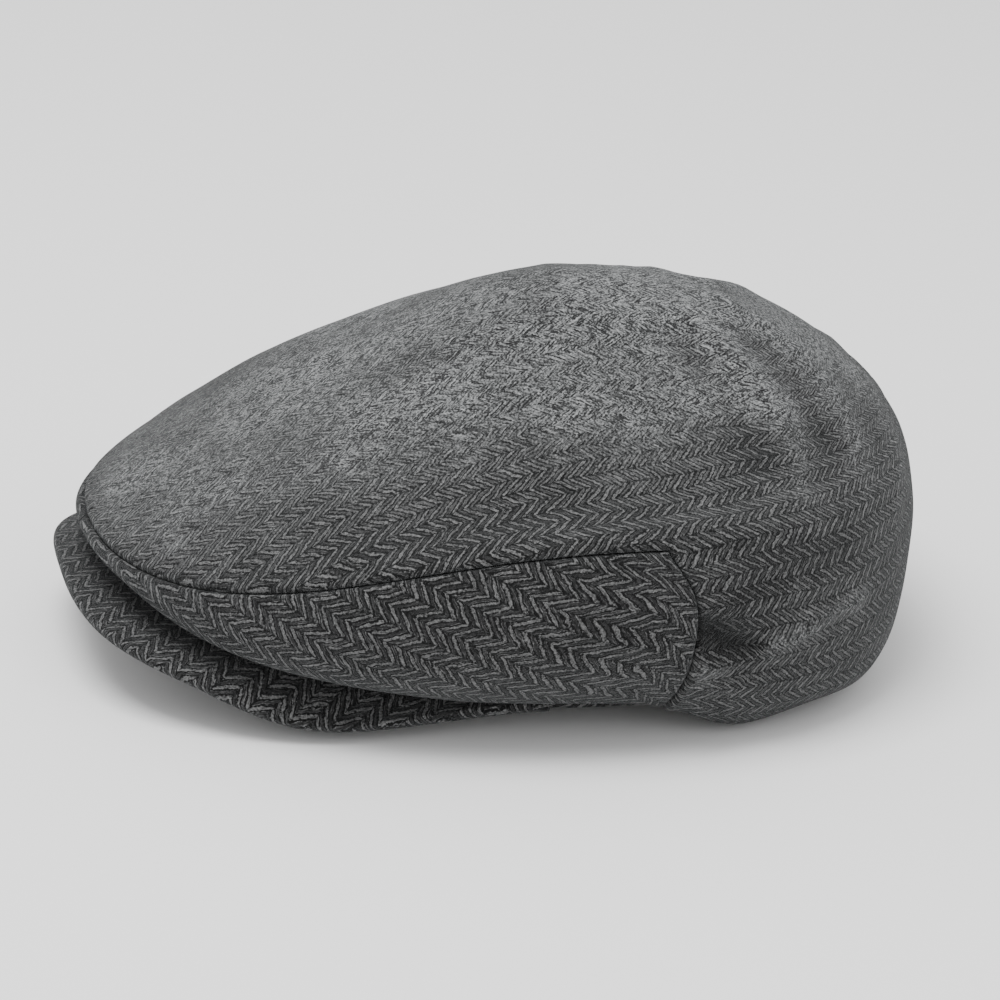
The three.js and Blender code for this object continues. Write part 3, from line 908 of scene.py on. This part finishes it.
wool = herringbone("herringbone_wool")
backing = plain_weave(
    "interlining_canvas", "interlining", (0.3, 0.28, 0.23), (0.6, 0.57, 0.49), 1.2 * MM
)
elastic = plain_weave("ribbed_elastic", "elastic", (0.01, 0.01, 0.01), (0.05, 0.05, 0.05), 1.6 * MM)
sweat_twill = twill(
    "sweatband_twill", "sweatband_twill", (0.01, 0.01, 0.011), (0.05, 0.05, 0.054), 1.1 * MM
)
lining_satin = satin("lining_satin", "lining_satin", (0.012, 0.012, 0.014), (0.035, 0.035, 0.04))
label_satin = satin("label_cloth", "label_cloth", (0.42, 0.41, 0.37), (0.56, 0.55, 0.5))
board_stuff = matt_board("visor_board")
thread_stuff = spun_thread("sewing_thread")


def dress(piece, recipe, *nodes):
    """Gives a piece its material and body, and hides the CAD nodes that it stands for."""
    piece.data.materials.clear()
    piece.data.materials.append(recipe.material)
    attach(piece, BODY)
    if nodes:
        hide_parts(*nodes)


# ---- Outer cloth -----------------------------------------------------

left_cells = is_side & (cell_column < corner_left)
right_cells = is_side & (cell_column >= corner_right)
crown_look = {"weave": crown_weave(), "nap_and_painted_light": crown_nap_and_painted_light}
side_look = {"weave": side_weave(), "nap_and_painted_light": side_nap}

crown_cloth = outer_grid.cloth("crown_cloth", ~is_side, crown_relief, 0, WOOL, **crown_look)
dress(crown_cloth, wool, "crown_panel")
for side, kept in (("left", left_cells), ("right", right_cells)):
    piece = outer_grid.cloth("side_cloth_" + side, kept, side_relief, 0, WOOL, **side_look)
    dress(piece, wool, "side_panel_" + side)

# ---- Interlining behind the outer cloth ------------------------------

BEHIND_WOOL = WOOL + GAP
FOLD_LEVEL = 2
# how many degrees the side interlinings stay clear of the front tip and of the rear corner
TIP_CLEARANCE = 24
CORNER_CLEARANCE = 6
# how many levels the interlinings stay clear of the seam
SEAM_CLEARANCE = 0.33

cell_level = levels[:-1][None, :]
cell_degrees = degrees[:, None]
is_over_seam = outer_grid.whole() & (cell_level >= SEAM_LEVEL + SEAM_CLEARANCE)
is_between = (cell_level >= FOLD_LEVEL) & (cell_level <= SEAM_LEVEL - SEAM_CLEARANCE)
backing_end = PANEL_CORNER - CORNER_CLEARANCE
is_left_backing = (cell_degrees >= TIP_CLEARANCE) & (cell_degrees <= backing_end)
is_right_backing = (cell_degrees <= 360 - TIP_CLEARANCE) & (cell_degrees >= 360 - backing_end)
for name, kept, relief, node in (
    ("backing_cloth_top", is_over_seam, crown_relief, "crown_interlining"),
    ("backing_cloth_left", is_between & is_left_backing, side_relief, "side_interlining_left"),
    ("backing_cloth_right", is_between & is_right_backing, side_relief, "side_interlining_right"),
):
    piece = outer_grid.cloth(name, kept, relief, BEHIND_WOOL, INTERLINING, crown_look["weave"])
    dress(piece, backing, node)

# ---- Lining and its label --------------------------------------------

LABEL_HALF = 24
LABEL_LEVELS = (3, 3.5)

lining_degrees = np.arange(0, 360, 2.0)
lining_levels = np.linspace(0, lining.top_level, 8 * lining.top_level + 1)
lining_grid = DomeGrid(lining, lining_degrees, lining_levels)


def lining_relief(grid):
    """Loose folds of the lining: they fan out from its top and are deepest half-way down."""
    fan = np.sin(grid.theta * 9 + 1.5 * np.sin(grid.theta * 2))
    deep = np.sin(math.pi * np.clip(grid.level / grid.dome.top_level, 0, 1)) ** 2
    return 0.6 * MM * fan * deep + 0.5 * MM * gentle(grid.points, 25 * MM, 11.0)


def lining_weave(grid):
    height = column_length_from(grid.points, 0)
    run = row_length_from(grid.points, 0)[:, :1] + np.zeros_like(height)
    return np.stack([run, height], axis=-1)


def lining_cloth(name, node, grid, kept, depth, recipe):
    piece = grid.cloth(name, kept, lining_relief(grid), depth, SATIN, lining_weave(grid))
    dress(piece, recipe, node)


lining_column = lining_degrees[:, None]
is_lining_low = (lining_levels[:-1] < LINING_SEAM_LEVEL)[None, :]
is_lining_left = is_lining_low & (lining_column < PANEL_CORNER)
is_lining_right = is_lining_low & (lining_column >= 360 - PANEL_CORNER)
is_lining_top = ~(is_lining_left | is_lining_right)
for name, node, kept in (
    ("lining_cloth_top", "lining_top", is_lining_top),
    ("lining_cloth_left", "lining_side_left", is_lining_left),
    ("lining_cloth_right", "lining_side_right", is_lining_right),
):
    lining_cloth(name, node, lining_grid, kept, 0, lining_satin)
label_degrees = np.linspace(180 - LABEL_HALF, 180 + LABEL_HALF, 33)
label_grid = DomeGrid(lining, label_degrees, np.linspace(*LABEL_LEVELS, 13), closed=False)
lining_cloth(
    "label_cloth_blank", "lining_label", label_grid, label_grid.whole(), SATIN + GAP, label_satin
)

# ---- Bands round the head opening ------------------------------------

CANVAS_END = 150
SWEATBAND_END = 179.8
PATCH_HALF = 5
PATCH_MARGIN = 2 * MM
PATCH_CLEARANCE = 0.5 * MM
STRIP_ROWS = np.array([0, 0.03, 0.08, 0.2, 0.35, 0.5, 0.65, 0.8, 0.92, 0.97, 1])


def make_strip(name, start, end, inset, thickness, low, high):
    """Upright strip with rounded edges that follows the head opening between two angles."""
    whole = end - start == 360
    count = max(9, round((end - start) / 2))
    theta = np.radians(np.linspace(start, end, count, endpoint=not whole))
    theta_grid, share = np.meshgrid(theta, STRIP_ROWS, indexing="ij")
    height = low + (high - low) * share
    from_edge = np.minimum(height - low, high - height)
    near_edge = 1 - np.clip(2 * from_edge / thickness, 0, 1)
    pull = 0.45 * thickness * (1 - np.sqrt(1 - near_edge**2))

    def wall(inward):
        x, y = plan_point(theta_grid, *(size - inward for size in HEADBAND))
        return np.stack([x, y, foot_z(theta_grid) + height], axis=-1)

    outer = wall(inset + pull)
    inner = wall(inset + thickness - pull)
    run = row_length_from(outer, 0)
    weave = np.stack([height, run], axis=-1)
    kept = np.ones((count if whole else count - 1, len(STRIP_ROWS) - 1), bool)
    return make_shell(name, outer, inner, kept, closed=whole, weave=weave)


canvas_inset = HEADBAND_CLOTH + GAP
sweat_inset = canvas_inset + CANVAS + GAP
patch_inset = sweat_inset + SWEATBAND_CLOTH + PATCH_CLEARANCE
sweat_top = SWEATBAND_LIFT + SWEATBAND_HEIGHT
canvas_wall = (canvas_inset, CANVAS, 1 * MM, HEADBAND_HEIGHT - 1 * MM)
sweat_wall = (sweat_inset, SWEATBAND_CLOTH, SWEATBAND_LIFT, sweat_top)
patch_wall = (patch_inset, CANVAS, SWEATBAND_LIFT + PATCH_MARGIN, sweat_top - PATCH_MARGIN)

headband = make_strip("headband_cloth", 0, 360, 0, HEADBAND_CLOTH, 0, HEADBAND_HEIGHT)
dress(headband, wool, "headband")
canvas_band = make_strip("headband_stiffener", -CANVAS_END, CANVAS_END, *canvas_wall)
dress(canvas_band, backing, "headband_canvas")
elastic_band = make_strip("elastic_band", CANVAS_END + 1, 359 - CANVAS_END, *canvas_wall)
dress(elastic_band, elastic, "elastic_tape")
sweatband = make_strip("sweatband_cloth", -SWEATBAND_END, SWEATBAND_END, *sweat_wall)
dress(sweatband, sweat_twill, "sweatband")
patch = make_strip("sweatband_patch", 180 - PATCH_HALF, 180 + PATCH_HALF, *patch_wall)
dress(patch, sweat_twill, "sweatband_join_patch")

# ---- Visor -----------------------------------------------------------

VISOR_COLUMNS = 150
VISOR_THICKNESS = BOARD + 2 * (GAP + COVER)
RIM_RADIUS = VISOR_THICKNESS / 2
VISOR_DEPTH = 53 * MM
# depth at which the rim's round edge begins, and the depths at which the top cover's edge ends and
# the under cover begins below
RIM_START = 1 - RIM_RADIUS / VISOR_DEPTH
TOP_COVER_END = RIM_START - 0.035
UNDER_COVER_END = RIM_START - 0.045
ROOT_START = 0.02


def visor_frame(across, depth):
    """Mid-thickness point, outward direction and upward normal of the visor."""
    step = 0.004
    middle = visor_point(across, depth)
    outward = middle - visor_point(across, depth - step)
    outward /= np.linalg.norm(outward, axis=-1, keepdims=True)
    inside = np.clip(across, -0.99, 0.99)
    aside = visor_point(inside + step, depth) - visor_point(inside - step, depth)
    upward = np.cross(aside, -outward)
    upward /= np.linalg.norm(upward, axis=-1, keepdims=True)
    upward = np.where(upward[..., 2:] < 0, -upward, upward)
    return middle, outward, upward


def visor_cloth(name, profile):
    """Cover of the visor. The profile is a list of (depth, outward, upward, unrolled) in its
    section, and unrolled is how far beyond its depth the point lies in the flat cloth."""
    even = np.linspace(-1, 1, VISOR_COLUMNS)
    across = (even + np.sin(even * math.pi / 2)) / 2
    depth, out, up, unrolled = np.array(profile).T
    across_grid, depth_grid = np.meshgrid(across, depth, indexing="ij")
    middle, outward, upward = visor_frame(across_grid, depth_grid)
    shift = outward * out[None, :, None] + upward * up[None, :, None]
    lift = np.hypot(out, up)
    shrink = ((lift - COVER) / lift)[None, :, None]
    outer = middle + shift
    inner = middle + shift * shrink
    turn = VISOR_WEAVE_TURN
    flat = middle + outward * unrolled[None, :, None]
    x, y = flat[..., 0], flat[..., 1]
    columns = x * math.cos(turn) + y * math.sin(turn)
    rows = y * math.cos(turn) - x * math.sin(turn)
    weave = np.stack([columns, rows], axis=-1)
    nap_and_painted_light = np.zeros(depth_grid.shape)
    if up[0] > 0:
        outer, inner, weave = outer[::-1], inner[::-1], weave[::-1]
    kept = np.ones((len(across) - 1, len(depth) - 1), bool)
    return make_shell(name, outer, inner, kept, weave=weave, nap_and_painted_light=nap_and_painted_light)


def make_visor():
    half = RIM_RADIUS
    top = [(d, 0, half, 0) for d in np.linspace(ROOT_START, RIM_START, 24)[:-1]]
    rim = [
        (RIM_START, half * math.sin(t), half * math.cos(t), half * t)
        for t in np.linspace(0, math.pi, 11)
    ]
    turned_under = [
        (d, 0, -half, half * math.pi + 2 * (RIM_START - d) * VISOR_DEPTH)
        for d in (RIM_START - 0.02, TOP_COVER_END)
    ]
    over = visor_cloth("visor_cloth_over", top + rim + turned_under)
    dress(over, wool, "visor_top_cover")
    bottom = [(d, 0, -half, 0) for d in np.linspace(ROOT_START, UNDER_COVER_END, 20)]
    under = visor_cloth("visor_cloth_under", bottom)
    dress(under, wool, "visor_under_cover")


make_visor()
for name, recipe in (("visor_board", board_stuff), ("visor_tack", thread_stuff)):
    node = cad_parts[name]
    node.data.materials.clear()
    node.data.materials.append(recipe.material)

# ---- Stage -----------------------------------------------------------

FLOOR_SIZE = 6.0
FLOOR_CLEARANCE = 0.2 * MM
FLOOR_SHADE = 0.9
WORLD_STRENGTH = 1.1
# each light's name, place and size in metres, and power in watts
LIGHTS = [
    ("key", (0.25, -0.45, 1.7), 0.9, 34),
    ("fill", (1.5, 0.8, 0.8), 1.2, 4),
]


def make_floor():
    low, high = -FLOOR_SIZE, FLOOR_SIZE
    corners = [(low, low, 0), (high, low, 0), (high, high, 0), (low, high, 0)]
    mesh = bpy.data.meshes.new("floor")
    mesh.from_pydata(corners, [], [(0, 1, 2, 3)])
    floor = bpy.data.objects.new("floor", mesh)
    floor.location.z = -FLOOR_CLEARANCE
    bpy.context.scene.collection.objects.link(floor)
    material = bpy.data.materials.new("pale_floor")
    material.use_nodes = True
    shader = material.node_tree.nodes["Principled BSDF"]
    shader.inputs["Base Color"].default_value = (FLOOR_SHADE, FLOOR_SHADE, FLOOR_SHADE, 1)
    shader.inputs["Roughness"].default_value = 0.9
    mesh.materials.append(material)


def make_light(name, place, size, watts):
    data = bpy.data.lights.new(name, "AREA")
    data.energy = watts
    data.size = size
    light = bpy.data.objects.new(name, data)
    light.location = place
    light.rotation_mode = "QUATERNION"
    light.rotation_quaternion = (Vector(place) - CAMERA_TARGET).to_track_quat("Z", "Y")
    bpy.context.scene.collection.objects.link(light)


def make_world():
    world = bpy.data.worlds.new("studio")
    world.use_nodes = True
    background = world.node_tree.nodes["Background"]
    background.inputs["Color"].default_value = (1, 1, 1, 1)
    background.inputs["Strength"].default_value = WORLD_STRENGTH
    bpy.context.scene.world = world


make_floor()
make_world()
for light in LIGHTS:
    make_light(*light)
